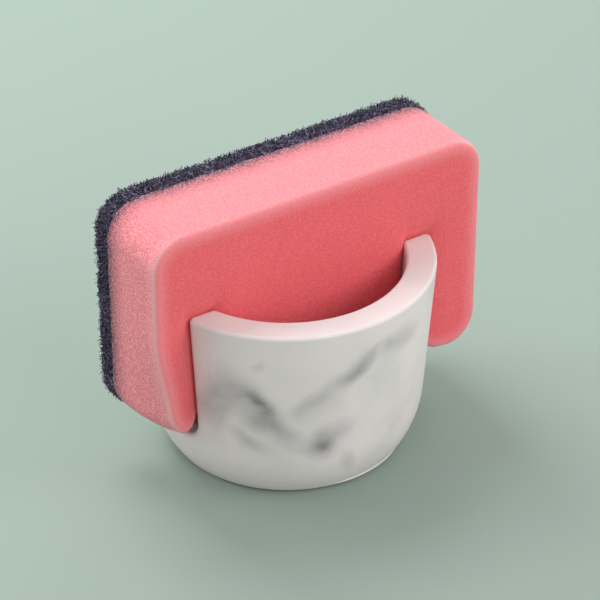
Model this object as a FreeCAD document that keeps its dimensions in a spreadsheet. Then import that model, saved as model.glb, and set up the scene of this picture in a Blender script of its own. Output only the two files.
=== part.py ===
import FreeCAD, Part
import math
import os

import Sketcher

# Sponge holder: a thick cast cup cut across by a slot, with a two-layer sponge standing in the slot.
# Millimetres, +Z up. The origin is the centre of the underside that the holder stands on.
# +X runs along the slot and the sponge's length, and -Y is the front.

V = FreeCAD.Vector

# How near two lengths in millimetres are taken to be equal, and two directions in degrees to be parallel
NEAR = 1e-3
PARALLEL_ANGLE = 2.5

# Driving dimensions: name, value, what it is
SIZES = [
    ("rim_height", 58.6, "height of the rim above the table"),
    ("rim_radius", 43.0, "outside radius at the rim, before its edge is rounded"),
    ("wall_thickness", 8.8, "wall at the rim"),
    ("wall_draft", 4.2, "lean of the outside wall, degrees"),
    ("inner_draft", 2.5, "lean of the inside wall, degrees"),
    ("belly_height", 16.0, "height where the straight wall turns into the bowl-shaped foot"),
    ("foot_inset", 5.7, "how far the base's edge lies inside the wall's lower end"),
    ("base_round", 1.2, "rounding of the base's edge"),
    ("slot_width", 24.0, "width of the slot at the rim"),
    ("slot_draft", 1.5, "lean of each slot face, degrees"),
    ("sill_height", 14.8, "height of the slot's bottom"),
    ("slot_corner", 7.0, "radius of the slot's bottom corners"),
    ("well_depth", 4.8, "depth of the drip well below the slot's bottom"),
    ("well_land", 0.3, "height of wall left between the well's rounding and the slot's rounded edge"),
    ("outer_corner", 1.6, "rounding of the slot's edges on the outside of the cup"),
    ("inner_corner", 1.6, "rounding of the slot's edges on the inside of the cup"),
    ("rim_round", 1.0, "rounding of the rim's edges"),
    ("base_land", 6.0, "width of the cup's own base left round the recess for the non-slip disc"),
    ("disc_thickness", 1.4, "thickness of the non-slip disc"),
    ("disc_proud", 0.4, "how far the disc stands below the cup's base"),
    ("disc_gap", 0.2, "gap round the disc in its recess"),
    ("disc_chamfer", 0.3, "bevel of the disc's lower edge"),
    ("sponge_length", 110.0, "length of the sponge"),
    ("sponge_height", 67.2, "height of the standing sponge"),
    ("sponge_corner", 10.0, "corner radius of the sponge's outline"),
    ("sponge_shift", 2.0, "how far the sponge stands off centre along the slot"),
    ("foam_thickness", 25.2, "thickness of the foam where it is free"),
    ("pad_thickness", 5.9, "thickness of the scouring pad"),
    ("foam_edge", 1.2, "rounding of the foam's front edge"),
    ("pad_edge", 0.8, "rounding of the pad's back edge"),
    ("seat_sink", 1.5, "how far the sponge sinks into the slot's rounded corners"),
    ("grip_gap", 0.3, "gap between the pinched sponge and the slot faces"),
    ("pinch_gap", 0.5, "gap beside and above a wall end in its dent"),
    ("pinch_flank", 1.2, "width of a dent's sloping side for each millimetre of its depth"),
    ("tool_margin", 2.0, "how far a cutting solid reaches past what it cuts"),
]

# Sizes that follow from the driving ones
DERIVED = [
    ("floor_height", "=sill_height - well_depth"),
    ("well_round", "=well_depth - inner_corner - well_land"),
    ("inner_rim_radius", "=rim_radius - wall_thickness"),
    ("inner_floor_radius", "=inner_rim_radius - (rim_height - floor_height) * tan(inner_draft * 1 deg)"),
    ("belly_radius", "=rim_radius - (rim_height - belly_height) * tan(wall_draft * 1 deg)"),
    ("base_radius", "=belly_radius - foot_inset"),
    ("recess_radius", "=base_radius - base_land"),
    ("disc_radius", "=recess_radius - disc_gap"),
    ("slot_top", "=rim_height + tool_margin"),
    ("slot_top_half", "=slot_width / 2 + tool_margin * tan(slot_draft * 1 deg)"),
    ("flank_angle", "=90 - slot_draft"),
    ("sponge_bottom", "=sill_height + slot_corner - seat_sink"),
    ("sponge_half", "=(foam_thickness + pad_thickness) / 2"),
    ("sponge_start", "=sponge_shift - sponge_length / 2"),
    ("glue_plane", "=sponge_half - pad_thickness"),
    ("seat_half", "=slot_width / 2 - (rim_height - sponge_bottom) * tan(slot_draft * 1 deg)"),
    ("seat_inner_radius", "=inner_rim_radius - (rim_height - sponge_bottom) * tan(inner_draft * 1 deg)"),
    ("pinch_half", "=seat_half - grip_gap"),
    ("pinch_reach", "=sponge_half - pinch_half + tool_margin"),
    ("pinch_rise", "=rim_height - sponge_bottom + pinch_gap"),
    ("pinch_start", "=sqrt(seat_inner_radius ^ 2 - seat_half ^ 2) - pinch_gap"),
    ("pinch_end", "=sqrt(rim_radius ^ 2 - (slot_width / 2) ^ 2) + pinch_gap"),
    ("pinch_spread", "=pinch_reach * pinch_flank"),
]

doc = FreeCAD.newDocument("sponge_holder")
sheet = doc.addObject("Spreadsheet::Sheet", "sizes")
for row, (name, value, note) in enumerate(SIZES, start=1):
    sheet.set(f"A{row}", note)
    sheet.set(f"B{row}", str(value))
    sheet.setAlias(f"B{row}", name)
for row, (name, formula) in enumerate(DERIVED, start=len(SIZES) + 1):
    sheet.set(f"B{row}", formula)
    sheet.setAlias(f"B{row}", name)
doc.recompute()


def size(cell):
    """Present value of a cell of the sheet."""
    return float(sheet.get(cell))


def lean(cell):
    """Sideways run, for each millimetre of height, of a face that leans by the angle in a cell."""
    return math.tan(math.radians(size(cell)))


def bind(thing, formulas):
    """Tie properties of an object to the sheet."""
    for prop, formula in formulas.items():
        thing.setExpression(prop, formula)


def new_body(label):
    body = doc.addObject("PartDesign::Body", label)
    body.Label = label
    return body


def new_sketch(body, role):
    """Empty sketch on one of the body's origin planes."""
    sketch = body.newObject("Sketcher::SketchObject", body.Name + "_sketch")
    plane = [feature for feature in body.Origin.OriginFeatures if feature.Role == role][0]
    sketch.AttachmentSupport = [(plane, "")]
    sketch.MapMode = "FlatFace"
    return sketch


def draw_loop(sketch, stops, smooth):
    """Closed outline from stop to stop.

    A stop is where a piece starts, with a point that the piece passes if it is an arc. Each piece ends
    where the next one starts, and a piece numbered in smooth runs into the next one without a kink.
    """
    starts = [V(*start) for start, through in stops]
    ends = starts[1:] + starts[:1]
    for start, end, (point, through) in zip(starts, ends, stops):
        piece = Part.Arc(start, V(*through), end) if through else Part.LineSegment(start, end)
        sketch.addGeometry(piece, False)
    for number in range(len(stops)):
        kind = "Tangent" if number in smooth else "Coincident"
        sketch.addConstraint(Sketcher.Constraint(kind, number, 2, (number + 1) % len(stops), 1))


def tie(sketch, constraint, formula):
    """Add a constraint and tie its value to the sheet."""
    number = sketch.addConstraint(constraint)
    sketch.setExpression(f"Constraints[{number}]", formula)


def hold(sketch, piece, across=None, up=None):
    """Hold the start of a piece at the distances from the origin that two cells give."""
    for kind, cell in (("DistanceX", across), ("DistanceY", up)):
        if cell:
            tie(sketch, Sketcher.Constraint(kind, -1, 1, piece, 1, size(cell)), f"sizes.{cell}")


def edges_where(shape, wanted):
    """Names of the shape's edges whose middle point and direction there pass a test."""
    names = []
    for number, edge in enumerate(shape.Edges, start=1):
        middle = (edge.FirstParameter + edge.LastParameter) / 2
        if wanted(edge.valueAt(middle), edge.tangentAt(middle)):
            names.append(f"Edge{number}")
    return names


def dress(body, kind, label, prop, cell, wanted):
    """Fillet or chamfer the chosen edges of the body's last feature by the size in a cell."""
    edges = edges_where(body.Tip.Shape, wanted)
    if not edges:
        raise RuntimeError(f"{label}: no edge was found")
    base = body.Tip
    feature = body.newObject(f"PartDesign::{kind}", label)
    feature.Base = (base, edges)
    bind(feature, {prop: f"sizes.{cell}"})
    doc.recompute()


def near(a, b):
    return abs(a - b) < NEAR


def runs_along(direction, axis):
    """True where a direction lies along an axis, either way."""
    turn = math.degrees(direction.getAngle(axis))
    return min(turn, 180 - turn) < PARALLEL_ANGLE


def radius_of(point):
    return math.hypot(point.x, point.y)


# The cast cup is revolved from its half section. Its foot is one arc that starts at the base's edge and
# runs smoothly into the leaning wall, so the arc's centre lies on the wall's normal where the two meet.
cup = new_body("holder_body")
section = new_sketch(cup, "XZ_Plane")
foot_run = size("belly_radius") - size("base_radius")
foot_rise = size("belly_height") - size("disc_proud")
normal = V(1, -lean("wall_draft")).normalize()
foot_radius = (foot_run ** 2 + foot_rise ** 2) / 2 / (foot_run * normal.x + foot_rise * normal.y)
foot_centre = V(size("belly_radius"), size("belly_height")) - normal * foot_radius
foot_chord = V(size("belly_radius") - foot_run / 2, size("belly_height") - foot_rise / 2)
foot_middle = foot_centre + (foot_chord - foot_centre).normalize() * foot_radius
draw_loop(section, [
    ((0, size("disc_thickness")), None),
    ((size("recess_radius"), size("disc_thickness")), None),
    ((size("recess_radius"), size("disc_proud")), None),
    ((size("base_radius"), size("disc_proud")), tuple(foot_middle)),
    ((size("belly_radius"), size("belly_height")), None),
    ((size("rim_radius"), size("rim_height")), None),
    ((size("inner_rim_radius"), size("rim_height")), None),
    ((size("inner_floor_radius"), size("floor_height")), None),
    ((0, size("floor_height")), None),
], smooth=[3])
for piece, (across, up) in enumerate([
        (None, "disc_thickness"), ("recess_radius", "disc_thickness"), ("recess_radius", "disc_proud"),
        ("base_radius", "disc_proud"), ("belly_radius", "belly_height"), ("rim_radius", "rim_height"),
        ("inner_rim_radius", "rim_height"), ("inner_floor_radius", "floor_height"),
        (None, "floor_height")]):
    hold(section, piece, across, up)
    if across is None:
        section.addConstraint(Sketcher.Constraint("PointOnObject", piece, 1, -2))
turned = cup.newObject("PartDesign::Revolution", "turned_wall")
turned.Profile = section
turned.ReferenceAxis = (section, ["V_Axis"])
turned.Angle = 360
doc.recompute()
dress(cup, "Fillet", "well_rounding", "Radius", "well_round", lambda point, along:
      near(point.z, size("floor_height")) and near(radius_of(point), size("inner_floor_radius")))
dress(cup, "Fillet", "base_rounding", "Radius", "base_round", lambda point, along:
      near(point.z, size("disc_proud")) and near(radius_of(point), size("base_radius")))

# The slot is a U with leaning sides and rounded bottom corners, cut right through the cup along X
slot_sketch = new_sketch(cup, "YZ_Plane")
top_half = size("slot_top_half")
top = size("slot_top")
sill = size("sill_height")
corner = size("slot_corner")
side = top_half - (top - sill - corner) * lean("slot_draft")
corner_in = side - corner * (1 - math.sqrt(0.5))
corner_up = sill + corner * (1 - math.sqrt(0.5))
draw_loop(slot_sketch, [
    ((-top_half, top), None),
    ((-side, sill + corner), (-corner_in, corner_up)),
    ((corner - side, sill), None),
    ((side - corner, sill), (corner_in, corner_up)),
    ((side, sill + corner), None),
    ((top_half, top), None),
], smooth=[0, 1, 2, 3])
hold(slot_sketch, 5, "slot_top_half", "slot_top")
hold(slot_sketch, 2, None, "sill_height")
slot_sketch.addConstraint(Sketcher.Constraint("Horizontal", 2))
slot_sketch.addConstraint(Sketcher.Constraint("Symmetric", 0, 1, 4, 2, -2))
slot_sketch.addConstraint(Sketcher.Constraint("Symmetric", 0, 2, 4, 1, -2))
flank_turn = math.radians(size("flank_angle"))
tie(slot_sketch, Sketcher.Constraint("Angle", 4, flank_turn), "sizes.flank_angle * 1 deg")
tie(slot_sketch, Sketcher.Constraint("Radius", 3, corner), "sizes.slot_corner")
volume_before = cup.Shape.Volume
slot = cup.newObject("PartDesign::Pocket", "slot")
slot.Profile = slot_sketch
slot.SideType = "Symmetric"
slot.Type = "ThroughAll"
doc.recompute()
print("slot removes", round(volume_before - cup.Shape.Volume), "cubic mm")


def on_slot_outline(point, along):
    """True on the edges that the slot leaves on the cup's walls, not on those that run along the slot."""
    end_view = Part.Vertex(0, point.y, point.z)
    return near(slot_sketch.Shape.distToShape(end_view)[0], 0) and not runs_along(along, V(1, 0, 0))


def outside(point):
    """True on the outer side of the middle of the wall at the point's height."""
    below = size("rim_height") - point.z
    outer = size("rim_radius") - below * lean("wall_draft")
    inner = size("inner_rim_radius") - below * lean("inner_draft")
    return radius_of(point) > (outer + inner) / 2


dress(cup, "Fillet", "outer_slot_rounding", "Radius", "outer_corner", lambda point, along:
      on_slot_outline(point, along) and outside(point))
dress(cup, "Fillet", "inner_slot_rounding", "Radius", "inner_corner", lambda point, along:
      on_slot_outline(point, along) and not outside(point))
dress(cup, "Fillet", "rim_rounding", "Radius", "rim_round", lambda point, along:
      near(point.z, size("rim_height")))

# The non-slip disc fills the recess under the cup and stands a little below its base
disc = new_body("base_pad")
sheet_disc = disc.newObject("PartDesign::AdditiveCylinder", "disc")
bind(sheet_disc, {"Radius": "sizes.disc_radius", "Height": "sizes.disc_thickness"})
doc.recompute()
dress(disc, "Chamfer", "disc_bevel", "Size", "disc_chamfer", lambda point, along:
      near(point.z, 0) and near(radius_of(point), size("disc_radius")))

# The sponge starts as one block with rounded corners, softened at its front and back edges
block = new_body("sponge_block")
box = block.newObject("PartDesign::AdditiveBox", "block")
bind(box, {
    "Length": "sizes.sponge_length", "Width": "2 * sizes.sponge_half", "Height": "sizes.sponge_height",
    "Placement.Base.x": "sizes.sponge_start", "Placement.Base.y": "-sizes.sponge_half",
    "Placement.Base.z": "sizes.sponge_bottom"})
doc.recompute()
dress(block, "Fillet", "sponge_corners", "Radius", "sponge_corner", lambda point, along:
      runs_along(along, V(0, 1, 0)))
dress(block, "Fillet", "front_softening", "Radius", "foam_edge", lambda point, along:
      near(point.y, -size("sponge_half")))
dress(block, "Fillet", "back_softening", "Radius", "pad_edge", lambda point, along:
      near(point.y, size("sponge_half")))


def dent(label, depth_cell):
    """Solid that presses one dent into the sponge's front: a leaning wedge as wide as a wall end.

    The dent's floor lies against the slot face. It is open at the bottom, and its sides and top slope out.
    """
    wedge = doc.addObject("Part::Wedge", label)
    wedge.Placement = FreeCAD.Placement(V(0, 0, 0), FreeCAD.Rotation(V(1, 0, 0), size("slot_draft")))
    bind(wedge, {
        "Ymin": "-sizes.pinch_reach", "Ymax": "0",
        "Xmin": "sizes.pinch_start - sizes.pinch_spread", "Xmax": "sizes.pinch_end + sizes.pinch_spread",
        "X2min": "sizes.pinch_start", "X2max": "sizes.pinch_end",
        "Zmin": "-sizes.tool_margin", "Zmax": "sizes.pinch_rise + sizes.pinch_spread",
        "Z2min": "-sizes.tool_margin", "Z2max": "sizes.pinch_rise",
        "Placement.Base.y": f"{depth_cell} - sizes.pinch_half", "Placement.Base.z": "sizes.sponge_bottom",
        "Placement.Rotation.Angle": "sizes.slot_draft * 1 deg"})
    return wedge


def mirrored(source, normal):
    """Mirror image of a solid across a plane through the origin."""
    image = doc.addObject("Part::Mirroring", source.Name + "_image")
    image.Source = source
    image.Normal = normal
    return image


def fused(label, solids):
    union = doc.addObject("Part::MultiFuse", label)
    union.Shapes = solids
    return union


def cut(label, base, tool):
    result = doc.addObject("Part::Cut", label)
    result.Base = base
    result.Tool = tool
    result.Label = label
    return result


# The two wall ends on each side of the slot press a pair of dents into the sponge. The pad keeps its
# thickness there and pushes its inner face into the foam.
right_dent = dent("front_dent", "0")
front_dents = fused("front_dents", [right_dent, mirrored(right_dent, V(1, 0, 0))])
back_dents = mirrored(front_dents, V(0, 1, 0))
right_bulge = dent("inner_dent", "sizes.pad_thickness")
inner_dents = fused("inner_dents", [right_bulge, mirrored(right_bulge, V(1, 0, 0))])
inner_bulges = mirrored(inner_dents, V(0, 1, 0))
pad_slab = doc.addObject("Part::Box", "pad_slab")
bind(pad_slab, {
    "Length": "sizes.sponge_length + 2 * sizes.tool_margin",
    "Width": "sizes.pad_thickness + sizes.tool_margin",
    "Height": "sizes.sponge_height + 2 * sizes.tool_margin",
    "Placement.Base.x": "sizes.sponge_start - sizes.tool_margin", "Placement.Base.y": "sizes.glue_plane",
    "Placement.Base.z": "sizes.sponge_bottom - sizes.tool_margin"})
pad_space = fused("pad_space", [pad_slab, inner_bulges])
pad_layer = doc.addObject("Part::Common", "pad_layer")
pad_layer.Base = block
pad_layer.Tool = pad_space
scouring_pad = cut("scouring_pad", pad_layer, back_dents)
sponge_foam = cut("sponge_foam", block, fused("foam_cuts", [pad_space, front_dents]))
doc.recompute()

# Every object has to be sound before anything is written
for thing in doc.Objects:
    if "Invalid" in thing.State or "Error" in thing.State:
        raise RuntimeError(f"{thing.Label} failed: {thing.State}")
os.makedirs("parts", exist_ok=True)
for piece in (cup, disc, sponge_foam, scouring_pad):
    shape = piece.Shape
    if shape.isNull() or not shape.isValid() or len(shape.Solids) != 1:
        raise RuntimeError(f"{piece.Label} isn't one sound solid")
    shape.exportStep(f"parts/{piece.Label}.step")
    print(piece.Label, round(shape.Volume), "cubic mm,", len(shape.Faces), "faces")
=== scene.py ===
# %% [markdown]
# A sponge holder and its sponge
#
# The real thing is a thick cup cast in one piece from a white mix with grey smears in it. A slot is cut
# across the cup, and a two-layer sponge stands on edge in the slot: soft coral foam in front, a dark
# scouring web behind. The cup and the disc under it come ready made, at their true size, in the frame
# that the first lines load. This lesson gives them their finish, and models the two soft layers, which no
# hard solid can show.

# %% Load the frame
import math

import bmesh
import bpy
import numpy as np
from mathutils import Matrix, Vector


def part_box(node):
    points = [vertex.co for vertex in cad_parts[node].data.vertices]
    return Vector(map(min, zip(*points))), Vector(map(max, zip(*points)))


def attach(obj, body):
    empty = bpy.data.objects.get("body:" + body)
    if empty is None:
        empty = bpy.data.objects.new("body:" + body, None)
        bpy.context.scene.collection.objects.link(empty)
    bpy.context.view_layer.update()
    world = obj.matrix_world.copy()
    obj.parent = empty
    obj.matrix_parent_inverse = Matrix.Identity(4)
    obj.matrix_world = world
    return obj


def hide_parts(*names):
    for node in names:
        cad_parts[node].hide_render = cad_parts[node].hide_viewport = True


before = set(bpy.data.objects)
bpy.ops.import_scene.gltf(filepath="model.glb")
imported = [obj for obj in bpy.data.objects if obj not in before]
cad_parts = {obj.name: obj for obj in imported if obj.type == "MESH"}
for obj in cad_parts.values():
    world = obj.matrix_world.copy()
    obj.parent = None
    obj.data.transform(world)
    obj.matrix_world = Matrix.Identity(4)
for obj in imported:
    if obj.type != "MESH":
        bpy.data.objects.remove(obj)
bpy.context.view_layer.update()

MM = 0.001
scene = bpy.context.scene
print("nodes:", sorted(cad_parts))

# %% [markdown]
# The camera
#
# The picture is taken from the left and from above with a long lens, so the sides hardly taper. A camera
# can be placed by hand until it looks right, but a camera that is worked out from two angles and a
# distance can be read and corrected later, so that is what is done here.

# %% Place the camera
AZIMUTH = math.radians(-33.72)
ELEVATION = math.radians(33.24)
DISTANCE = 843.8 * MM
AIM = Vector((14.1, 14.2, 30.4)) * MM
LENS = 170.85
NEAREST_SEEN = 10 * MM


def direction(azimuth, elevation):
    """Unit vector from the cup. Azimuth 0 is the front, and elevation is the angle above the floor."""
    level = math.cos(elevation)
    return Vector((math.sin(azimuth) * level, -math.cos(azimuth) * level, math.sin(elevation)))


camera = bpy.data.objects.new("camera", bpy.data.cameras.new("camera"))
scene.collection.objects.link(camera)
toward_camera = direction(AZIMUTH, ELEVATION)
camera.location = AIM + toward_camera * DISTANCE
camera.rotation_mode = "QUATERNION"
camera.rotation_quaternion = (-toward_camera).to_track_quat("-Z", "Y")
camera.data.lens = LENS
camera.data.clip_start = NEAREST_SEEN
scene.camera = camera
print("camera stands", round(camera.location.length, 3), "m from the cup")

# %% [markdown]
# The light
#
# Large soft lights show the form without hard shadows. Most of the light comes from panels behind the
# sponge, so its top and the rim are bright, its face is calm, and the shadow falls softly towards the
# camera. Weaker panels in front and at the front right open the shadows. A picture of a studio wrapped
# round the scene would do the same, but area lights can be set one by one, and their size says how soft a
# shadow is. Each panel is placed by its angle round the cup, counted as the camera's, and its height as
# an angle.

# %% Hang the lights
SKY_COLOUR = (1, 1, 1, 1)
SKY_STRENGTH = 0.66
PANEL_SIDE = 0.5
PANEL_DISTANCE = 1.1
LIT_POINT = Vector((0, 0, 40 * MM))
# Angle round the cup and angle above the floor in degrees, power in watts
PANELS = {
    "behind_low": (180, 30, 4.2),
    "behind_high": (180, 60, 4.6),
    "behind_left": (-135, 30, 3.3),
    "behind_right": (135, 30, 1.5),
    "front_right": (45, 30, 3.0),
    "front": (0, 30, 1.8),
}

scene.view_settings.view_transform = "Standard"
scene.world = bpy.data.worlds.new("studio")
scene.world.use_nodes = True
sky = scene.world.node_tree.nodes["Background"]
sky.inputs["Color"].default_value = SKY_COLOUR
sky.inputs["Strength"].default_value = SKY_STRENGTH


def panel(name, azimuth, elevation, power):
    """Square panel of light that faces the cup."""
    lamp = bpy.data.objects.new(name, bpy.data.lights.new(name, "AREA"))
    scene.collection.objects.link(lamp)
    lamp.data.size = PANEL_SIDE
    lamp.data.energy = power
    outward = direction(math.radians(azimuth), math.radians(elevation))
    lamp.location = LIT_POINT + outward * PANEL_DISTANCE
    lamp.rotation_mode = "QUATERNION"
    lamp.rotation_quaternion = (-outward).to_track_quat("-Z", "Y")


for name, placing in PANELS.items():
    panel(name, *placing)

# %% [markdown]
# Building finishes
#
# A finish is a small network of nodes. Adding and wiring nodes one line at a time hides what the network
# does, so small helpers do the wiring. The first adds a node and fills its inputs, and the others use it
# for what the finishes need again and again. Every pattern reads Object coordinates, in metres, so it
# keeps its scale on the piece.

# %% Helpers that add nodes
def add(tree, kind, inputs=None, **settings):
    """Add a node. An input is either a plain value or the socket that feeds it."""
    made = tree.nodes.new(kind)
    for name, value in settings.items():
        setattr(made, name, value)
    for name, value in (inputs or {}).items():
        if isinstance(value, bpy.types.NodeSocket):
            tree.links.new(value, made.inputs[name])
        else:
            made.inputs[name].default_value = value
    return made


def calculate(tree, operation, first, second):
    """Result of one Math node."""
    return add(tree, "ShaderNodeMath", {0: first, 1: second}, operation=operation).outputs[0]


def calculate_vector(tree, operation, first, second):
    """Result of one Vector Math node."""
    return add(tree, "ShaderNodeVectorMath", {0: first, 1: second}, operation=operation).outputs[0]


def mix_colours(tree, share, first, second):
    """First colour where share is 0, second colour where it is 1."""
    made = add(tree, "ShaderNodeMix", {0: share, 6: first, 7: second}, data_type="RGBA")
    return made.outputs[2]


def remap(tree, value, source, target=(0, 1), blend="LINEAR"):
    """Value carried from one range to another, and held inside it."""
    inputs = {"Value": value, "From Min": source[0], "From Max": source[1],
              "To Min": target[0], "To Max": target[1]}
    return add(tree, "ShaderNodeMapRange", inputs, interpolation_type=blend).outputs["Result"]


def soft_step(tree, value, start, end):
    """0 at start, 1 at end, and smooth between them."""
    return remap(tree, value, (start, end), blend="SMOOTHSTEP")


print("node helpers ready")

# %% Helpers for patterns and shaders
def new_finish(name, **sockets):
    """Material with a Principled shader, and the values that are the same all over it."""
    finish = bpy.data.materials.new(name)
    finish.use_nodes = True
    shader = finish.node_tree.nodes["Principled BSDF"]
    for socket, value in sockets.items():
        shader.inputs[socket.replace("_", " ")].default_value = value
    return finish, finish.node_tree, shader


def object_place(tree):
    """Object coordinates, which stay with the piece."""
    return add(tree, "ShaderNodeTexCoord").outputs["Object"]


def share_of(tree, name):
    """Value that the mesh keeps for each point under a name."""
    return add(tree, "ShaderNodeAttribute", attribute_name=name).outputs["Fac"]


def noise(tree, place, grain, detail=2.0, output="Fac"):
    """Noise whose blotches are about a grain wide."""
    inputs = {"Vector": place, "Scale": 1 / grain, "Detail": detail}
    return add(tree, "ShaderNodeTexNoise", inputs).outputs[output]


def cells(tree, place, size):
    """Distance to the middle of the nearest cell."""
    return add(tree, "ShaderNodeTexVoronoi", {"Vector": place, "Scale": 1 / size}).outputs["Distance"]


def bump(tree, shader, height, depth, strength=1.0):
    """Raise the surface by up to a depth where the height is 1."""
    inputs = {"Height": height, "Distance": depth, "Strength": strength}
    tree.links.new(add(tree, "ShaderNodeBump", inputs).outputs["Normal"], shader.inputs["Normal"])


print("pattern helpers ready")

# %% [markdown]
# The floor
#
# The cup stands on a plain, pale green surface, so the floor needs no texture. A floor could curve up
# into a wall behind the cup, but the camera looks down and never sees its end, so one large square is
# enough.

# %% Lay the floor
FLOOR_SIDE = 6.0
FLOOR_COLOUR = (0.291, 0.363, 0.317, 1)

floor_shape = bmesh.new()
bmesh.ops.create_grid(floor_shape, x_segments=1, y_segments=1, size=FLOOR_SIDE / 2)
floor = bpy.data.objects.new("floor", bpy.data.meshes.new("floor"))
floor_shape.to_mesh(floor.data)
floor_shape.free()
scene.collection.objects.link(floor)
floor_finish, _, floor_shader = new_finish("plain_floor", Roughness=0.8, Specular_IOR_Level=0.2)
floor_shader.inputs["Base Color"].default_value = FLOOR_COLOUR
floor.data.materials.append(floor_finish)
print("floor side:", FLOOR_SIDE, "m")

# %% [markdown]
# The cast cup's finish
#
# The cup is cast white, and a little grey was stirred in just before pouring. It lies in a few soft
# smears, not in the even veins of a marble pattern, so a noise texture alone gives the wrong look. Here
# each smear is a stretched ball of grey between two places on the wall, given by their turn round the cup
# and their height. Noise bends the smears and thins them in streaks. The back of the cup repeats them
# further round, with their slope reversed, and has a few of its own.

# %% Choose the smears
# Turn in degrees and height in millimetres of both ends, half width in millimetres, share of grey
SMEARS = [
    ((-56, 45), (-45, 26), 10.0, 0.42),
    ((-53, 40), (-27, 19), 6.5, 0.62),
    ((-50, 42), (-41, 30), 6.0, 0.10),
    ((-65, 42), (-62, 20), 7.0, 0.48),
    ((-66, 45), (-52, 31), 12.0, 0.20),
    ((-60, 25), (-36, 17), 4.2, 0.38),
    ((-46, 48), (-39, 49), 2.5, 0.22),
    ((-36, 31), (-8, 43), 5.5, 0.30),
    ((-18, 40.5), (3, 47), 5.2, 0.66),
    ((-2, 46), (28, 51), 6.0, 0.40),
    ((-10, 47), (8, 51), 3.2, 0.25),
    ((-33, 34), (-12, 33), 7.0, 0.14),
    ((-25, 22.5), (-13, 16.5), 6.5, 0.80),
    ((-21, 21), (-7, 27), 7.0, 0.34),
    ((-10, 17), (-4, 3), 3.4, 0.32),
    ((15, 24), (19, 12), 2.8, 0.16),
]
# Smears that only the back has, where the turned ones leave it bare
BACK_SMEARS = [
    ((203, 47), (228, 33), 8.0, 0.55),
    ((212, 43), (226, 36), 4.0, 0.35),
    ((219, 37), (242, 46), 5.0, 0.66),
    ((207, 26), (232, 13), 5.8, 0.72),
    ((226, 20), (247, 30), 6.5, 0.45),
    ((239, 51), (251, 40), 4.0, 0.40),
]
# How far round the cup the back repeats the front, in degrees
BACK_TURN = 163


def turned_smears():
    """The front's smears further round the cup, with their slope reversed."""
    return [((turn_a + BACK_TURN, low_b), (turn_b + BACK_TURN, low_a), width, strength)
            for (turn_a, low_a), (turn_b, low_b), width, strength in SMEARS]


all_smears = SMEARS + turned_smears() + BACK_SMEARS
print("smears:", len(all_smears))

# %% Draw a smear with nodes
WALL_RADIUS = 41 * MM
BEND_GRAIN = 15 * MM
BEND_REACH = 5 * MM
BEND_DETAIL = 1.5
NOISE_MIDDLE = 0.5


def smear(tree, place, start, end, width, strength):
    """Grey share of one smear: a stretched ball lying along the wall."""
    run = math.radians(end[0] - start[0]) * WALL_RADIUS
    rise = (end[1] - start[1]) * MM
    turn = math.radians(start[0] + end[0]) / 2
    middle = WALL_RADIUS * direction(turn, 0) + Vector((0, 0, (start[1] + end[1]) / 2 * MM))
    lie = Matrix.Rotation(turn, 3, "Z") @ Matrix.Rotation(-math.atan2(rise, run), 3, "Y")
    half = (math.hypot(run, rise) + width * MM) / 2
    inputs = {"Vector": place, "Location": middle, "Rotation": lie.to_euler(),
              "Scale": (half, 2 * width * MM, width * MM)}
    local = add(tree, "ShaderNodeMapping", inputs, vector_type="TEXTURE").outputs[0]
    from_middle = add(tree, "ShaderNodeVectorMath", {0: local}, operation="LENGTH").outputs["Value"]
    return calculate(tree, "MULTIPLY", soft_step(tree, from_middle, 1, 0), strength)


def bent_place(tree, place):
    """Object coordinates pushed about by noise."""
    drift = noise(tree, place, BEND_GRAIN, BEND_DETAIL, output="Color")
    centred = calculate_vector(tree, "SUBTRACT", drift, (NOISE_MIDDLE,) * 3)
    push = calculate_vector(tree, "MULTIPLY", centred, (2 * BEND_REACH,) * 3)
    return calculate_vector(tree, "ADD", place, push)


print("smears bend by up to", BEND_REACH / MM, "mm")

# %% Finish the cup
CAST_WHITE = (0.835, 0.765, 0.755, 1)
CAST_CLOUD = (0.72, 0.68, 0.67, 1)
SMEAR_GREY = (0.19, 0.185, 0.19, 1)
STREAK_GRAIN = 6 * MM
STREAK_RANGE = (0.35, 0.6)
STREAK_SHARES = (0.7, 1.0)
CLOUD_GRAIN = 26 * MM
CLOUD_RANGE = (0.42, 0.75)
FINE_DETAIL = 4.0
SATIN_GRAIN = 5 * MM
SATIN_ROUGHNESS = (0.42, 0.58)
SATIN_DETAIL = 3.0
SKIN_GRAIN = 1.2 * MM
SKIN_DEPTH = 0.04 * MM
SKIN_STRENGTH = 0.5


def cast_finish():
    """White cast with grey smears, faint clouds and a satin skin."""
    finish, tree, shader = new_finish("cast_white", Specular_IOR_Level=0.4)
    place = object_place(tree)
    bent = bent_place(tree, place)
    grey = 0.0
    for start, end, width, strength in all_smears:
        grey = calculate(tree, "ADD", grey, smear(tree, bent, start, end, width, strength))
    streaks = remap(tree, noise(tree, bent, STREAK_GRAIN, FINE_DETAIL), STREAK_RANGE, STREAK_SHARES)
    grey = calculate(tree, "MINIMUM", calculate(tree, "MULTIPLY", grey, streaks), 1.0)
    cloud = soft_step(tree, noise(tree, bent, CLOUD_GRAIN, FINE_DETAIL), *CLOUD_RANGE)
    white = mix_colours(tree, cloud, CAST_WHITE, CAST_CLOUD)
    tree.links.new(mix_colours(tree, grey, white, SMEAR_GREY), shader.inputs["Base Color"])
    satin = remap(tree, noise(tree, place, SATIN_GRAIN, SATIN_DETAIL), (0, 1), SATIN_ROUGHNESS)
    tree.links.new(satin, shader.inputs["Roughness"])
    bump(tree, shader, noise(tree, place, SKIN_GRAIN, SATIN_DETAIL), SKIN_DEPTH, SKIN_STRENGTH)
    return finish


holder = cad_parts["holder_body"]
holder.material_slots[0].material = cast_finish()
print("nodes in the cup's finish:", len(holder.material_slots[0].material.node_tree.nodes))

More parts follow.
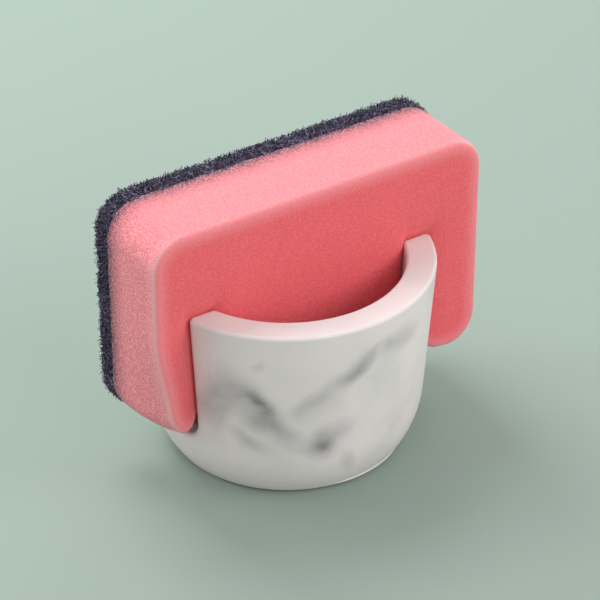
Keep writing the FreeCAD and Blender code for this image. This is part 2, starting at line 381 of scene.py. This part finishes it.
# %% [markdown]
# The non-slip disc
#
# Under the cup is a thin sheet of dark foam rubber, cut round and glued in. It is seen only when the cup
# is tipped up. Its skin has fine closed cells. Modelling them would take thousands of faces for something
# that is nearly always hidden, so a cell texture gives them as shallow pits.

# %% Finish the disc
DISC_DARK = (0.020, 0.020, 0.022, 1)
DISC_PALE = (0.045, 0.045, 0.048, 1)
DISC_CELL = 0.5 * MM
DISC_PIT = 0.08 * MM


def disc_finish():
    """Dark foam rubber with fine closed cells."""
    finish, tree, shader = new_finish("foam_rubber", Roughness=0.85, Specular_IOR_Level=0.3)
    pits = cells(tree, object_place(tree), DISC_CELL)
    tree.links.new(mix_colours(tree, pits, DISC_DARK, DISC_PALE), shader.inputs["Base Color"])
    bump(tree, shader, pits, DISC_PIT)
    return finish


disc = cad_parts["base_pad"]
disc.material_slots[0].material = disc_finish()
print("disc cell:", DISC_CELL / MM, "mm")

# %% [markdown]
# How the slot squeezes the sponge
#
# The slot is narrower than the sponge, so the four ends of the cup's wall press dents into it, and the
# soft layers swell out again on both sides of a wall end and above the rim. The ends past the wall hang
# down a little. A cloth simulation would have to be stopped at the right moment, so the squeeze is
# written down instead, as a depth for each place on the sponge's face. Foam and web use the same depth,
# which keeps them glued together.

# %% Measure the slot and the sponge
foam_low, foam_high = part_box("sponge_foam")
web_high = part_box("scouring_pad")[1]
rim_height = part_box("holder_body")[1].z
glue_plane = foam_high.y
foam_depth = glue_plane - foam_low.y
SLOT_HALF = 12 * MM
SLOT_LEAN = math.tan(math.radians(1.5))
# Where a wall end begins and ends along the slot, at the rim, and how these places lean inwards below it
WALL_IN = 32.6 * MM
WALL_OUT = 40.6 * MM
IN_LEAN = math.tan(math.radians(2.5))
OUT_LEAN = math.tan(math.radians(4.2))


def smooth(share):
    """Soft step of an array, from 0 to 1."""
    share = np.clip(share, 0, 1)
    return share * share * (3 - 2 * share)


def past_wall(x, z):
    """How far places along the slot lie past the outer side of the wall."""
    return np.abs(x) - WALL_OUT + np.maximum(rim_height - z, 0) * OUT_LEAN


print("rim height:", round(rim_height / MM, 1), "mm, foam depth:", round(foam_depth / MM, 1), "mm")

# %% Describe the squeeze
SQUEEZE_GAP = 0.25 * MM
# How far from a wall end its dent fades to about a third
SWELL_INSIDE = 2.2 * MM
SWELL_AT_RIM = 4 * MM
SWELL_AT_FOOT = 4.5 * MM
SWELL_ABOVE = 5 * MM
SAG = 2.6 * MM
SAG_SPREAD = 6 * MM
SAG_REACH = 26 * MM


def at_wall_end(x, z):
    """1 where a wall end presses on the sponge, fading to 0 where it is free."""
    before = np.maximum(WALL_IN - np.maximum(rim_height - z, 0) * IN_LEAN - np.abs(x), 0)
    past = np.maximum(past_wall(x, z), 0)
    above = np.maximum(z - rim_height, 0)
    low = np.clip((rim_height - z) / (rim_height - foam_low.z), 0, 1)
    swell_outside = SWELL_AT_RIM + (SWELL_AT_FOOT - SWELL_AT_RIM) * low
    return np.exp(-np.hypot(before / SWELL_INSIDE + past / swell_outside, above / SWELL_ABOVE))


def squeeze(x, z):
    """How far the sponge's front and back faces are pressed in."""
    slot_half = SLOT_HALF - np.maximum(rim_height - z, 0) * SLOT_LEAN
    return (web_high.y - slot_half + SQUEEZE_GAP) * at_wall_end(x, z)


def sag(x, z):
    """How far the sponge's free ends hang down past the wall."""
    return SAG * smooth(past_wall(x, z) / SAG_SPREAD) * smooth(1 - (z - foam_low.z) / SAG_REACH)


print("deepest dent:", round(float(squeeze((WALL_IN + WALL_OUT) / 2, foam_low.z)) / MM, 2), "mm")

# %% [markdown]
# Meshes as arrays of points
#
# Both soft layers are shaped by moving their points. Moving a hundred thousand points one by one in
# Python is slow, and a displacement texture can't know where the wall presses. So these helpers hand the
# points of a mesh over as one array, and take the moved ones back. They can also keep a value for each
# point, for a finish to read.

# %% Helpers for meshes
def piece_from(name, shape, finish):
    """Object at the origin from a bmesh, which is freed."""
    mesh = bpy.data.meshes.new(name)
    shape.to_mesh(mesh)
    shape.free()
    mesh.materials.append(finish)
    piece = bpy.data.objects.new(name, mesh)
    scene.collection.objects.link(piece)
    return piece


def points_of(mesh):
    """Places of a mesh's points, a row for each."""
    points = np.empty(len(mesh.vertices) * 3, np.float32)
    mesh.vertices.foreach_get("co", points)
    return points.reshape(-1, 3).astype(float)


def normals_of(mesh):
    """Outward directions at a mesh's points, a row for each."""
    normals = np.empty(len(mesh.vertices) * 3, np.float32)
    mesh.vertex_normals.foreach_get("vector", normals)
    return normals.reshape(-1, 3).astype(float)


def set_points(mesh, points):
    """Move a mesh's points to new places."""
    mesh.vertices.foreach_set("co", points.astype(np.float32).ravel())
    mesh.update()


def add_share(mesh, name, values):
    """Keep a value for each point of a mesh, for its finish to read."""
    mesh.attributes.new(name, "FLOAT", "POINT").data.foreach_set("value", values.astype(np.float32))


print("mesh helpers ready")

# %% [markdown]
# The block that both layers start from
#
# Foam and web are cut to the same outline: a long block with four round corners, seen from the front. It
# could be drawn as a curve and thickened, but a cube whose edges are beveled gives the same form in two
# steps. It has only a few large faces, which can't bend, so a voxel remesh covers it with small even
# squares.

# %% Bevel a block and cover it with squares
CORNER = 10 * MM
CORNER_SEGMENTS = 12
EDGE_SEGMENTS = 3
SAME_PLACE = 1e-6
BEVEL = {"affect": "EDGES", "offset_type": "OFFSET", "profile": 0.5, "material": -1}


def round_block(low, high, corner, depth, radius):
    """Block with round corners in its outline, and a soft edge round its face at a depth."""
    shape = bmesh.new()
    bmesh.ops.create_cube(shape, size=1.0)
    bmesh.ops.scale(shape, vec=high - low, verts=shape.verts)
    bmesh.ops.translate(shape, vec=(low + high) / 2, verts=shape.verts)
    through = [e for e in shape.edges if abs(e.verts[0].co.y - e.verts[1].co.y) > SAME_PLACE]
    bmesh.ops.bevel(shape, geom=through, offset=corner, segments=CORNER_SEGMENTS, **BEVEL)
    outline = [e for e in shape.edges if all(abs(v.co.y - depth) < SAME_PLACE for v in e.verts)]
    bmesh.ops.bevel(shape, geom=outline, offset=radius, segments=EDGE_SEGMENTS, **BEVEL)
    return shape


def remesh(piece, square):
    """Cover a piece with even squares, and make them its own mesh."""
    voxels = piece.modifiers.new("even_squares", "REMESH")
    voxels.mode = "VOXEL"
    voxels.voxel_size = square
    graph = bpy.context.evaluated_depsgraph_get()
    mesh = bpy.data.meshes.new_from_object(piece.evaluated_get(graph))
    piece.modifiers.clear()
    piece.data = mesh
    mesh.shade_smooth()


print("corner radius:", CORNER / MM, "mm")

# %% [markdown]
# The foam's finish
#
# Open foam is a net of thin struts round dark pores, too fine to model. Cells and noise together make
# pores of uneven size, and the same pattern drives colour and bump, so they agree. The broad faces are
# smooth and deep coral. The long sides and the ends were cut, which opens the pores and makes them paler,
# and the long sides get a flatter grain than the ends as painted glare. Light that shines through the
# thin edges is painted on as a paler colour, and the web's shade on the foam beside it is painted in dark
# speckles. Where each look belongs is a value kept at the mesh's points.

# %% Finish for the foam
FACE_STRUT = (0.93, 0.162, 0.181, 1)
FACE_PORE = (0.81, 0.098, 0.116, 1)
# Long sides: a flatter grain, painted glare as on a brightly lit face. Ends: the cut foam's full grain
GLARE_SIDE_STRUT = (0.85, 0.273, 0.301, 1)
GLARE_SIDE_PORE = (0.70, 0.165, 0.188, 1)
END_SIDE_STRUT = (0.96, 0.355, 0.390, 1)
END_SIDE_PORE = (0.63, 0.093, 0.111, 1)
# Painted light: the light that shines through the thin front edge
EDGE_LIGHT_PAINT = (1.0, 0.48, 0.51, 1)
# Painted shade: the web's shadow on the foam beside it
WEB_SHADE_DARK = (0.085, 0.055, 0.08, 1)
PORE = 0.55 * MM
PORE_WEIGHT = 0.7
SPECKLE = 0.36 * MM
SPECKLE_WEIGHT = 0.6
OPEN_RANGE = (0.25, 0.85)
# Speckles that break up the painted shade of the web
SHADE_SPECKLE_GRAIN = 0.45 * MM
SHADE_SPECKLE_RANGE = (0.35, 0.65)
SHADE_SPECKLE_SHARES = (0.35, 1.65)
PORE_DEPTH = 0.12 * MM
PORE_STRENGTH = 0.7


def foam_finish():
    """Coral foam, paler where cut, and painted with glare, edge light and the web's shade."""
    finish, tree, shader = new_finish("coral_foam", Roughness=0.95, Specular_IOR_Level=0.15,
                                      Sheen_Weight=0.1, Sheen_Roughness=0.6)
    place = object_place(tree)
    height = calculate(tree, "ADD", calculate(tree, "MULTIPLY", cells(tree, place, PORE), PORE_WEIGHT),
                       calculate(tree, "MULTIPLY", noise(tree, place, SPECKLE), SPECKLE_WEIGHT))
    strut = soft_step(tree, height, *OPEN_RANGE)
    face = mix_colours(tree, strut, FACE_PORE, FACE_STRUT)
    # The long sides get the flatter grain of painted glare
    glare_side = mix_colours(tree, strut, GLARE_SIDE_PORE, GLARE_SIDE_STRUT)
    end_side = mix_colours(tree, strut, END_SIDE_PORE, END_SIDE_STRUT)
    cut = mix_colours(tree, share_of(tree, "end_share"), glare_side, end_side)
    skin = mix_colours(tree, share_of(tree, "cut_side"), face, cut)
    # Painted shade of the web on the foam, broken into speckles
    shade_speckles = remap(tree, noise(tree, place, SHADE_SPECKLE_GRAIN), SHADE_SPECKLE_RANGE, SHADE_SPECKLE_SHARES)
    painted_shade = calculate(tree, "MULTIPLY", share_of(tree, "painted_web_shade"), shade_speckles)
    web_shaded = mix_colours(tree, calculate(tree, "MINIMUM", painted_shade, 1.0), skin, WEB_SHADE_DARK)
    # Painted light at the thin front edge
    coral = mix_colours(tree, share_of(tree, "painted_edge_light"), web_shaded, EDGE_LIGHT_PAINT)
    tree.links.new(coral, shader.inputs["Base Color"])
    bump(tree, shader, height, PORE_DEPTH, PORE_STRENGTH)
    return finish


coral_foam = foam_finish()
print("foam pore:", PORE / MM, "mm")

# %% [markdown]
# How the foam gives way
#
# The foam is the soft layer that shows how hard it is held. Real foam would be squeezed by physics, but
# here a few moves do it, as a sculptor would make them. The squeeze pinches it on both faces, its lower
# corner on the left is dragged towards the cup, its free ends hang, and its lower front edge curls up on
# the left, where it sits in the slot. Each move fades out smoothly, so none leaves a crease.

# %% Bend the foam
DRAG = 4.8 * MM
DRAG_TOP = 58 * MM
DRAG_FULL = 24 * MM
DRAG_FROM = 20 * MM
DRAG_RUN = 24 * MM
DRAG_BIAS = 1.8
CURL = 3.6 * MM
CURL_REACH = 9 * MM
CURL_SPREAD = 5 * MM
CURL_FADE = 30 * MM


def bend_foam(points):
    """Foam's points after the slot has gripped it."""
    x, y, z = points.T
    deep = (y - foam_low.y) / foam_depth
    near_front = 1 - deep
    left = smooth((-x - DRAG_FROM) / DRAG_RUN)
    low = smooth((DRAG_TOP - z) / (DRAG_TOP - DRAG_FULL))
    pull = low * left * np.clip(near_front, 0, 1) ** DRAG_BIAS
    x = x + DRAG * pull
    beside = np.clip(1 - past_wall(x, z) / CURL_SPREAD, 0, 1) ** 2 * smooth(-x / CURL_FADE)
    curl = beside * smooth(near_front * 2 - 1) * smooth(1 - (z - foam_low.z) / CURL_REACH)
    y = y + squeeze(x, z) * (1 - 2 * deep)
    z = z + CURL * curl - sag(x, z) * (1 - deep / 2) * (1 - pull)
    return np.column_stack([x, y, z])


print("lower left corner dragged by", DRAG / MM, "mm")

# %% [markdown]
# Where the foam is cut, and where light and shade are painted on it
#
# The finish asks four things of each point: whether it is on a cut side, whether that side is an end or a
# long side with painted glare, how much painted light it gets at the front edge, and how much painted
# shade it gets beside the web. They could be painted by hand, but the block's own normals and measures
# tell them exactly, as long as they are taken before the block is bent.

# %% Tell sides and edges apart
# Measures of how far a face turns away from the broad front: 0 on it, 1 on a side
CUT_FROM = 0.12
CUT_BLEND = 0.6
HALF_TURNED = 0.5
ROUND_RISE = 0.3
ROUND_FALL = 0.4
# Shares of the painted edge light: on any rounding, more on one towards an end, and beside it
ROUND_LIGHT_SHARE = 0.3
END_LIGHT_SHARE = 0.6
BESIDE_EDGE_LIGHT = 0.38
EDGE_LIGHT_REACH = 6 * MM
# Painted shade of the web: its share at the glued face, and how far from it it fades
WEB_SHADE_SHARE = 0.95
WEB_SHADE_REACH = 10 * MM


def from_outline(points):
    """How far points lie inside the sponge's round outline, seen from the front."""
    middle = (foam_low + foam_high) / 2
    half = (foam_high - foam_low) / 2
    over = np.abs(points[:, [0, 2]] - [middle.x, middle.z]) - [half.x - CORNER, half.z - CORNER]
    return CORNER - np.linalg.norm(np.maximum(over, 0), axis=1) - np.minimum(over.max(axis=1), 0)


def painted_edge_light(points, turned_out, endward):
    """Painted light near the front edge: most on the rounding itself, less beside it."""
    rounding = smooth(turned_out / ROUND_RISE) * smooth((1 - turned_out) / ROUND_FALL)
    faces_front = turned_out < HALF_TURNED
    from_edge = np.where(faces_front, from_outline(points), points[:, 1] - foam_low.y)
    beside_light = BESIDE_EDGE_LIGHT * np.where(faces_front, 1, endward) * smooth(1 - from_edge / EDGE_LIGHT_REACH)
    return np.maximum((ROUND_LIGHT_SHARE + END_LIGHT_SHARE * endward) * rounding, beside_light)


def mark_foam(mesh, points, normals):
    """Keep what the foam's finish asks of each point."""
    turned_out = 1 - np.abs(normals[:, 1])
    endward = np.abs(normals[:, 0])
    from_web = glue_plane - points[:, 1]
    add_share(mesh, "cut_side", smooth((turned_out - CUT_FROM) / CUT_BLEND))
    # Ends keep the full grain, and the long sides get painted glare
    add_share(mesh, "end_share", smooth(endward))
    # Painted light at the front edge
    add_share(mesh, "painted_edge_light", painted_edge_light(points, turned_out, endward))
    # Painted shade beside the web
    add_share(mesh, "painted_web_shade", WEB_SHADE_SHARE * np.clip(1 - from_web / WEB_SHADE_REACH, 0, 1) ** 2)


print("lint reaches", WEB_SHADE_REACH / MM, "mm from the web")

# %% [markdown]
# The foam
#
# Now the block is made, marked and bent. The open pores of real foam leave its surface rough. A displace
# modifier with a noise texture could roughen it, but would also roughen the glued face. So each point is
# moved in or out by a hair before the block bends, and the points on the glued face stay, so that the web
# lies flat on them.

# %% Shape the foam
FOAM_EDGE = 1.8 * MM
FOAM_SQUARE = 0.55 * MM
GRAIN = 0.025 * MM
GRAIN_SEED = 5

foam_shape = round_block(foam_low, foam_high, CORNER, foam_low.y, FOAM_EDGE)
foam = piece_from("foam_block", foam_shape, coral_foam)
remesh(foam, FOAM_SQUARE)
foam_points = points_of(foam.data)
foam_normals = normals_of(foam.data)
mark_foam(foam.data, foam_points, foam_normals)
grain = np.random.default_rng(GRAIN_SEED).normal(0, GRAIN, len(foam_points))
grain *= foam_points[:, 1] < glue_plane - FOAM_SQUARE
set_points(foam.data, bend_foam(foam_points + foam_normals * grain[:, None]))
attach(foam, "sponge")
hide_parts("sponge_foam")
print("foam points:", len(foam.data.vertices))

# %% [markdown]
# The fibres' finish
#
# The back layer is a loose felt of coarse nylon fibres, dyed dark violet and stuck together with resin.
# One colour all over would make it a black shape. Real fibres shine where they are bare and are dull
# where resin covers them. So every fibre gets a tint of its own, and the few pale ones are painted
# highlights for that shine, which noise breaks into patches.

# %% Finish for the fibres
FIBRE_DARK = (0.021, 0.015, 0.038, 1)
# Painted highlight: the pale tint stands for the shine of bare fibre
FIBRE_GLINT = (0.430, 0.360, 0.580, 1)
TINT_BIAS = 2.5
GLINT_GRAIN = 0.9 * MM
GLINT_RANGE = (0.35, 0.6)
RESIN_GRAIN = 0.3 * MM
RESIN_DEPTH = 0.05 * MM


def fibre_finish():
    """Dark resin-bound fibre, each with its own tint, and pale tints painted as highlights."""
    finish, tree, shader = new_finish("resin_fibre", Roughness=0.45, Specular_IOR_Level=0.5)
    place = object_place(tree)
    # Pale tints are painted highlights, broken into patches by noise
    glint_patches = soft_step(tree, noise(tree, place, GLINT_GRAIN), *GLINT_RANGE)
    tint = calculate(tree, "POWER", share_of(tree, "tint"), TINT_BIAS)
    glint = calculate(tree, "MULTIPLY", tint, glint_patches)
    tree.links.new(mix_colours(tree, glint, FIBRE_DARK, FIBRE_GLINT), shader.inputs["Base Color"])
    bump(tree, shader, noise(tree, place, RESIN_GRAIN), RESIN_DEPTH)
    return finish


resin_fibre = fibre_finish()
# The pale tint's patches are painted highlights
print("a fibre's tint wears off in patches of", GLINT_GRAIN / MM, "mm")

# %% [markdown]
# The web's slab
#
# Under its loose surface, the web is a dense dark mat. A bumpy slab alone looks like stone, and hair
# particles can't be exported. So the web is made in two steps. The first is a rough dark slab, a little
# smaller than the real layer, that fills the space and stops light from passing through. It is pressed in
# with the foam.

# %% Shape the web's slab
WEB_EDGE = 0.8 * MM
WEB_INSET = 1.2 * MM
WEB_SQUARE = 0.7 * MM
WEB_LUMP = 0.16 * MM
LUMP_SEED = 6


def bend_web(points):
    """Web's points pressed in with the foam."""
    moved = points.copy()
    moved[:, 1] -= squeeze(points[:, 0], points[:, 2])
    moved[:, 2] -= sag(points[:, 0], points[:, 2]) / 2
    return moved


web_low = Vector((foam_low.x, glue_plane, foam_low.z)) + Vector((WEB_INSET, 0, WEB_INSET))
web_top = Vector((foam_high.x, web_high.y, foam_high.z)) - Vector((WEB_INSET,) * 3)
web_shape = round_block(web_low, web_top, CORNER - WEB_INSET, web_top.y, WEB_EDGE)
web = piece_from("web_slab", web_shape, resin_fibre)
remesh(web, WEB_SQUARE)
web_points = points_of(web.data)
lumps = np.random.default_rng(LUMP_SEED).normal(0, WEB_LUMP, len(web_points))
lumps *= web_points[:, 1] > glue_plane + WEB_SQUARE
set_points(web.data, bend_web(web_points + normals_of(web.data) * lumps[:, None]))
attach(web, "sponge")
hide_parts("scouring_pad")
print("web points:", len(web.data.vertices))

# %% [markdown]
# The web's fibres
#
# The second step lays thousands of short bent fibres on the slab, as thin tubes. Many wander over the
# surface and lift off it a little here and there. Between them, cut ends stand up as bristles, and on the
# free edge a few stray ends stand further out, which makes the outline ragged. Each surface could have
# fibres of its own kind, but a path that is drawn flat serves them all. It is made of steps along and
# across a surface, with a lift off it, and only then placed on the edge strip or on the back face.

# %% Find places on the web
straight_x = foam_high.x - foam_low.x - 2 * CORNER
straight_z = foam_high.z - foam_low.z - 2 * CORNER
quarter = CORNER * math.pi / 2
outline_length = 2 * (straight_x + straight_z) + 4 * quarter
strip = web_high.y - glue_plane
centre = (foam_low + foam_high) / 2


def on_outline(along):
    """Place and outward direction on the sponge's outline, a distance along it from the top left corner."""
    along = along % outline_length
    for turn, (run, other) in enumerate([(straight_x, straight_z), (straight_z, straight_x)] * 2):
        angle = math.pi / 2 - turn * math.pi / 2
        away = other / 2 + CORNER
        out = np.array([math.cos(angle), math.sin(angle)])
        ahead = np.array([out[1], -out[0]])
        if along < run:
            return out * away + ahead * (along - run / 2), out
        along -= run
        if along < quarter:
            sweep = along / CORNER
            bent_out = out * math.cos(sweep) + ahead * math.sin(sweep)
            return out * (away - CORNER) + ahead * run / 2 + bent_out * CORNER, bent_out
        along -= quarter
    return on_outline(0)


def edge_place(along, across, lift):
    """Place over the web's edge strip."""
    spot, out = on_outline(along)
    return (centre.x + spot[0] + out[0] * lift, glue_plane + across, centre.z + spot[1] + out[1] * lift)


def back_place(along, across, lift):
    """Place over the web's back face."""
    return (centre.x + along, web_high.y + lift, centre.z + across)


print("outline length:", round(outline_length / MM), "mm")

# %% Draw the path of a fibre
FIBRE_STEP = 0.95 * MM
FIBRE_POINTS = 7
FIBRE_TURN = 0.75
FIBRE_LIFT = (-0.8 * MM, 0.0)
LIFT_CHANGE = 0.3 * MM
LOOSE_SHARE = 0.25
LOOSE_LIFT = 0.4 * MM
BRISTLE_ROOT = -0.8 * MM
BRISTLE_TOP = (-0.2 * MM, 0.8 * MM)
BRISTLE_LEAN = 1.1 * MM
BRISTLE_BEND = 0.6
BRISTLE_DROOP = 0.9
STRAY_TOP = (0.5 * MM, 1.5 * MM)


def wander(rng, start, keep):
    """One fibre's path over a surface, as steps along and across it with a lift off it."""
    heading = rng.uniform(0, 2 * math.pi)
    along, across = start
    top = LOOSE_LIFT if rng.random() < LOOSE_SHARE else FIBRE_LIFT[1]
    lift = rng.uniform(*FIBRE_LIFT)
    path = []
    for _ in range(FIBRE_POINTS):
        path.append((along, across, lift))
        heading += rng.normal(0, FIBRE_TURN)
        along, across = keep(along + FIBRE_STEP * math.cos(heading),
                             across + FIBRE_STEP * math.sin(heading))
        lift = float(np.clip(lift + rng.normal(0, LIFT_CHANGE), FIBRE_LIFT[0], top))
    return path


def bristle(rng, start, keep, tops=BRISTLE_TOP):
    """One cut end of a fibre, which stands off the surface at a slant."""
    heading = rng.uniform(0, 2 * math.pi)
    lean = rng.uniform(0, BRISTLE_LEAN)
    top = rng.uniform(*tops)
    tip = keep(start[0] + lean * math.cos(heading), start[1] + lean * math.sin(heading))
    root = np.array([*start, BRISTLE_ROOT])
    knee = root * (1 - BRISTLE_BEND) + np.array([*tip, top]) * BRISTLE_BEND
    return [tuple(root), tuple(knee), (*tip, top * BRISTLE_DROOP)]


def stray(rng, start, keep):
    """One of the few long ends that stand well out of the cut edge."""
    return bristle(rng, start, keep, STRAY_TOP)


print("a fibre is", round((FIBRE_POINTS - 1) * FIBRE_STEP / MM, 1), "mm long")

# %% Turn paths into a piece
FIBRE_RADIUS = 0.1 * MM
PRESSED_DEPTH = 0.3 * MM
PRESSED_GAIN = 3


def pressed_spots(spots):
    """Path's places after the wall ends have pressed it flat and the slot has squeezed it."""
    pressed = at_wall_end(spots[:, 0], spots[:, 2])
    proud = np.clip(spots[:, 1] - (web_high.y - PRESSED_DEPTH), 0, None)
    spots[:, 1] -= proud * smooth(pressed * PRESSED_GAIN)
    return bend_web(spots)


def fibres(name, path, count, seed, start, keep, place):
    """Piece of many fibres. Start picks where a path begins, and keep holds it on the surface. A crumpled
    path, with two points in one place, is left out."""
    rng = np.random.default_rng(seed)
    line = bpy.data.curves.new(name, "CURVE")
    line.dimensions = "3D"
    line.bevel_depth = FIBRE_RADIUS
    line.bevel_resolution = 0
    line.use_fill_caps = True
    for _ in range(count):
        spots = pressed_spots(np.array([place(*step) for step in path(rng, start(rng), keep)]))
        if np.linalg.norm(np.diff(spots, axis=0), axis=1).min() < FIBRE_RADIUS / 2:
            continue
        strand = line.splines.new("POLY")
        strand.points.add(len(spots) - 1)
        strand.points.foreach_set("co", np.column_stack([spots, np.ones(len(spots))]).ravel())
    curve = bpy.data.objects.new(name + "_lines", line)
    scene.collection.objects.link(curve)
    graph = bpy.context.evaluated_depsgraph_get()
    mesh = bpy.data.meshes.new_from_object(curve.evaluated_get(graph))
    bpy.data.objects.remove(curve)
    mesh.name = name
    mesh.materials.clear()
    mesh.materials.append(resin_fibre)
    laid = len(line.splines)
    add_share(mesh, "tint", np.repeat(rng.random(laid), len(mesh.vertices) // laid))
    piece = bpy.data.objects.new(name, mesh)
    scene.collection.objects.link(piece)
    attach(piece, "sponge")
    print(name, "triangles:", sum(len(face.vertices) - 2 for face in mesh.polygons))


print("fibre radius:", FIBRE_RADIUS / MM, "mm")

# %% Choose where fibres start and stay
# How far over the foam's edge a fibre may start and lie, and how far from it a stray end keeps
START_OVER_FOAM = 0.3 * MM
KEEP_OVER_FOAM = 0.7 * MM
STRAY_FROM_FOAM = 2.2 * MM
BACK_CORNER = CORNER - 0.6 * MM
back_half = (straight_x / 2 + BACK_CORNER, straight_z / 2 + BACK_CORNER)


def start_on_edge(rng):
    """Start anywhere on the edge strip."""
    return rng.uniform(0, outline_length), rng.uniform(-START_OVER_FOAM, strip)


def start_on_free_edge(rng):
    """Start on the edge strip, but not on its lower run, which stands in the slot."""
    past_top = straight_z + 2 * quarter
    return rng.uniform(-past_top, straight_x + past_top), rng.uniform(STRAY_FROM_FOAM, strip)


def keep_on_edge(along, across):
    """Spot held on the edge strip."""
    return along, float(np.clip(across, -KEEP_OVER_FOAM, strip))


def start_on_back(rng):
    """Start anywhere on the back face."""
    return keep_on_back(rng.uniform(-1, 1) * back_half[0], rng.uniform(-1, 1) * back_half[1])


def keep_on_back(along, across):
    """Spot held inside the back face's round outline."""
    limit_x, limit_z = straight_x / 2, straight_z / 2
    core = np.array([np.clip(along, -limit_x, limit_x), np.clip(across, -limit_z, limit_z)])
    over = np.array([along, across]) - core
    far = np.linalg.norm(over)
    held = core + over * min(1, BACK_CORNER / far) if far > 0 else core
    return float(held[0]), float(held[1])


print("edge strip:", round(strip / MM, 1), "mm wide")

# %% Lay the fibres
on_edge = (start_on_edge, keep_on_edge, edge_place)
on_free_edge = (start_on_free_edge, keep_on_edge, edge_place)
on_back = (start_on_back, keep_on_back, back_place)
# Name, kind of path, how many, seed of the random draws, surface
WEB_PIECES = [
    ("edge_fibres", wander, 3200, 11, on_edge),
    ("edge_bristles", bristle, 7000, 12, on_edge),
    ("back_fibres_a", wander, 3700, 13, on_back),
    ("back_fibres_b", wander, 3700, 14, on_back),
    ("back_bristles", bristle, 8500, 15, on_back),
    ("edge_strays", stray, 900, 16, on_free_edge),
]
for name, path, count, seed, surface in WEB_PIECES:
    fibres(name, path, count, seed, *surface)

# %% [markdown]
# The pour line
#
# Round a part of the foot, the cast has crept between the halves of its mould and left a thin ridge. It
# could be sculpted into the cup, but the cup's mesh stays as it was measured, so the ridge is a sliver of
# the same cast that grows out of the foot. A spin sweeps its small section round the cup, and its ends
# sink into the surface.

# %% Sweep the pour line
POUR_START = math.radians(-20)
POUR_END = math.radians(38)
POUR_STEPS = 48
POUR_FADE = 0.3
POUR_SINK = 0.5 * MM
# Radius and height of the section's corners in millimetres
POUR_SECTION = [(34.3, 0.9), (35.25, 1.3), (34.8, 2.0)]


def pour_line():
    """Thin ridge round a part of the foot."""
    shape = bmesh.new()
    start = direction(POUR_START, 0)
    corners = [shape.verts.new((start * radius + Vector((0, 0, height))) * MM)
               for radius, height in POUR_SECTION]
    section = [shape.edges.new((a, b)) for a, b in zip(corners, corners[1:] + corners[:1])]
    bmesh.ops.spin(shape, geom=corners + section, cent=(0, 0, 0), axis=(0, 0, 1), steps=POUR_STEPS,
                   angle=POUR_END - POUR_START)
    bmesh.ops.holes_fill(shape, edges=shape.edges)
    bmesh.ops.recalc_face_normals(shape, faces=shape.faces)
    for vert in shape.verts:
        share = (math.atan2(vert.co.x, -vert.co.y) - POUR_START) / (POUR_END - POUR_START)
        fade = float(smooth(min(share, 1 - share) / POUR_FADE))
        outward = Vector((vert.co.x, vert.co.y, 0)).normalized()
        vert.co -= outward * POUR_SINK * (1 - fade)
    return shape


ridge = piece_from("pour_line", pour_line(), holder.material_slots[0].material)
ridge.data.shade_smooth()
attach(ridge, "holder")
print("pour line faces:", len(ridge.data.polygons))
